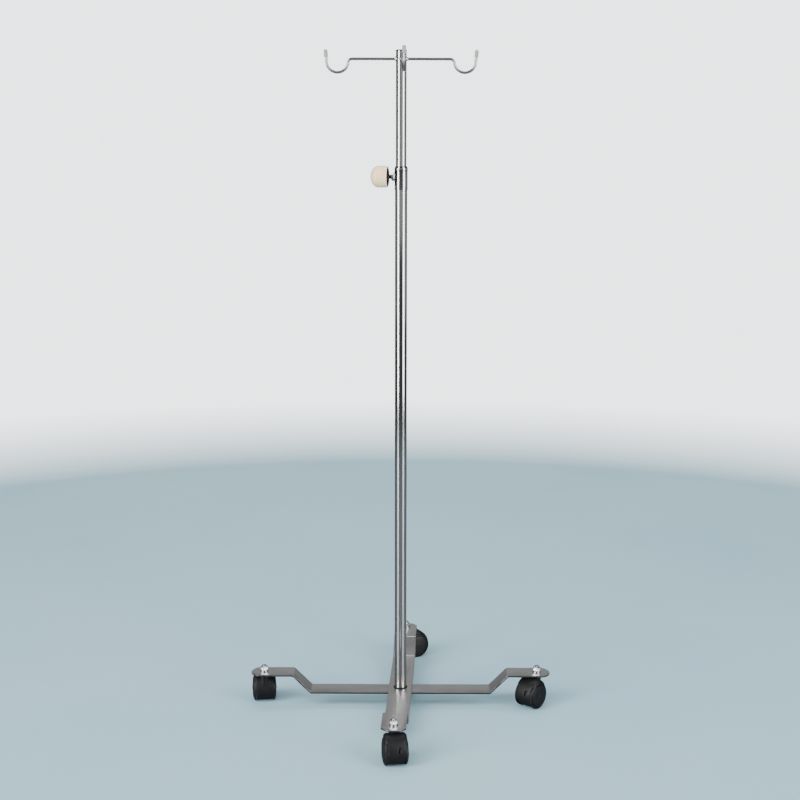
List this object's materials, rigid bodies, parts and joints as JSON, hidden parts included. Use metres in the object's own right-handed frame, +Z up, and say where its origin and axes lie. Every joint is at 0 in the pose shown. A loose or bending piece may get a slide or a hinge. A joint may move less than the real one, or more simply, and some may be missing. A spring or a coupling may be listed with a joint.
{
  "type": "telescopic drip stand",
  "caption": "Telescopic drip stand: two-part pole with a clamp knob, rod hooks at the top and a cross base of joggled bars on hooded twin-wheel casters.",
  "frame": {"origin": "on the floor under the pole's axis", "axes": "+Z up along the pole, +X along the side bar to the right caster, -Y towards the front caster, whose bar stands 2.3 degrees off square"},
  "size_m": [0.5664, 0.5981, 1.212],
  "materials": {
    "satin_steel": "satin rolled stainless bar, warm grey",
    "polished_steel": "bright polished stainless tube and rod",
    "zinc_plate": "bright zinc plate",
    "black_plastic": "moulded black plastic, fine grain",
    "wheel_plastic": "moulded black nylon, semi-gloss",
    "black_rubber": "dull black rubber",
    "cream_plastic": "cream moulded plastic, semi-gloss",
    "brass": "turned brass",
    "white_nylon": "natural nylon",
    "clear_vinyl": "soft translucent vinyl"
  },
  "bodies": {
    "base": {"side_cross_bar": "satin_steel", "front_cross_bar": "satin_steel", "pole_foot_gasket": "black_rubber", "pole_foot_plug": "satin_steel", "base_bolt_washer": "zinc_plate", "base_bolt": "zinc_plate", "lower_tube": "polished_steel", "clamp_collar": "polished_steel", "clamp_nut": "polished_steel", "left_caster_stem": "zinc_plate", "left_caster_washer": "zinc_plate", "left_spring_washer": "zinc_plate", "left_caster_nut": "zinc_plate", "front_caster_stem": "zinc_plate", "front_caster_washer": "zinc_plate", "front_spring_washer": "zinc_plate", "front_caster_nut": "zinc_plate", "right_caster_stem": "zinc_plate", "right_caster_washer": "zinc_plate", "right_spring_washer": "zinc_plate", "right_caster_nut": "zinc_plate", "back_caster_stem": "zinc_plate", "back_caster_washer": "zinc_plate", "back_spring_washer": "zinc_plate", "back_caster_nut": "zinc_plate"},
    "guide": {"guide_bush": "white_nylon"},
    "mast": {"upper_tube": "polished_steel", "top_plug": "black_plastic", "right_hook": "polished_steel", "right_hook_tip": "clear_vinyl", "back_hook": "polished_steel", "back_hook_tip": "clear_vinyl", "left_hook": "polished_steel", "left_hook_tip": "clear_vinyl", "front_hook": "polished_steel", "front_hook_tip": "clear_vinyl"},
    "clamp_slug": {"clamp_pad": "brass"},
    "knob": {"clamp_screw": "zinc_plate", "knob_cap": "cream_plastic", "knob_core": "black_plastic"},
    "left_caster": {"left_caster_hood": "black_plastic", "left_caster_axle": "zinc_plate"},
    "left_wheel_a": {"left_wheel_a": "wheel_plastic"},
    "left_wheel_b": {"left_wheel_b": "wheel_plastic"},
    "front_caster": {"front_caster_hood": "black_plastic", "front_caster_axle": "zinc_plate"},
    "front_wheel_a": {"front_wheel_a": "wheel_plastic"},
    "front_wheel_b": {"front_wheel_b": "wheel_plastic"},
    "right_caster": {"right_caster_hood": "black_plastic", "right_caster_axle": "zinc_plate"},
    "right_wheel_a": {"right_wheel_a": "wheel_plastic"},
    "right_wheel_b": {"right_wheel_b": "wheel_plastic"},
    "back_caster": {"back_caster_hood": "black_plastic", "back_caster_axle": "zinc_plate"},
    "back_wheel_a": {"back_wheel_a": "wheel_plastic"},
    "back_wheel_b": {"back_wheel_b": "wheel_plastic"}
  },
  "joints": [
    {"name": "mast_slide", "type": "slide", "parent": "base", "child": "guide", "axis": [0, 0, 1], "range_m": [-0.18, 0.6]},
    {"name": "mast_swivel", "type": "hinge", "parent": "guide", "child": "mast", "pos_m": [0, 0, 0.26], "axis": [0, 0, 1], "continuous": true},
    {"name": "pad_travel", "type": "slide", "parent": "base", "child": "clamp_slug", "axis": [-0.9903, 0.1392, 0], "range_m": [0, 0.00255]},
    {"name": "knob_turn", "type": "hinge", "parent": "clamp_slug", "child": "knob", "pos_m": [0, 0, 0.9904], "axis": [-0.9903, 0.1392, 0], "range_deg": [0, 720]},
    {"name": "left_caster_swivel", "type": "hinge", "parent": "base", "child": "left_caster", "pos_m": [-0.258, 0, 0.058], "axis": [0, 0, 1], "continuous": true},
    {"name": "left_wheel_a_spin", "type": "hinge", "parent": "left_caster", "child": "left_wheel_a", "pos_m": [-0.26013, 0.01787, 0.025], "axis": [0.993, 0.1184, 0], "continuous": true},
    {"name": "left_wheel_b_spin", "type": "hinge", "parent": "left_caster", "child": "left_wheel_b", "pos_m": [-0.26013, 0.01787, 0.025], "axis": [0.993, 0.1184, 0], "continuous": true},
    {"name": "front_caster_swivel", "type": "hinge", "parent": "base", "child": "front_caster", "pos_m": [-0.01035, -0.25779, 0.058], "axis": [0, 0, 1], "continuous": true},
    {"name": "front_wheel_a_spin", "type": "hinge", "parent": "front_caster", "child": "front_wheel_a", "pos_m": [-0.00785, -0.27562, 0.025], "axis": [-0.9903, -0.1392, 0], "continuous": true},
    {"name": "front_wheel_b_spin", "type": "hinge", "parent": "front_caster", "child": "front_wheel_b", "pos_m": [-0.00785, -0.27562, 0.025], "axis": [-0.9903, -0.1392, 0], "continuous": true},
    {"name": "right_caster_swivel", "type": "hinge", "parent": "base", "child": "right_caster", "pos_m": [0.258, 0, 0.058], "axis": [0, 0, 1], "continuous": true},
    {"name": "right_wheel_a_spin", "type": "hinge", "parent": "right_caster", "child": "right_wheel_a", "pos_m": [0.24619, -0.01358, 0.025], "axis": [-0.7547, 0.6561, 0], "continuous": true},
    {"name": "right_wheel_b_spin", "type": "hinge", "parent": "right_caster", "child": "right_wheel_b", "pos_m": [0.24619, -0.01358, 0.025], "axis": [-0.7547, 0.6561, 0], "continuous": true},
    {"name": "back_caster_swivel", "type": "hinge", "parent": "base", "child": "back_caster", "pos_m": [0.01035, 0.25779, 0.058], "axis": [0, 0, 1], "continuous": true},
    {"name": "back_wheel_a_spin", "type": "hinge", "parent": "back_caster", "child": "back_wheel_a", "pos_m": [0.02625, 0.26624, 0.025], "axis": [0.4695, -0.8829, 0], "continuous": true},
    {"name": "back_wheel_b_spin", "type": "hinge", "parent": "back_caster", "child": "back_wheel_b", "pos_m": [0.02625, 0.26624, 0.025], "axis": [0.4695, -0.8829, 0], "continuous": true}
  ],
  "couplings": [
    {"joint": "pad_travel", "follows": "knob_turn", "m_per_rad": 0.00019894}
  ]
}
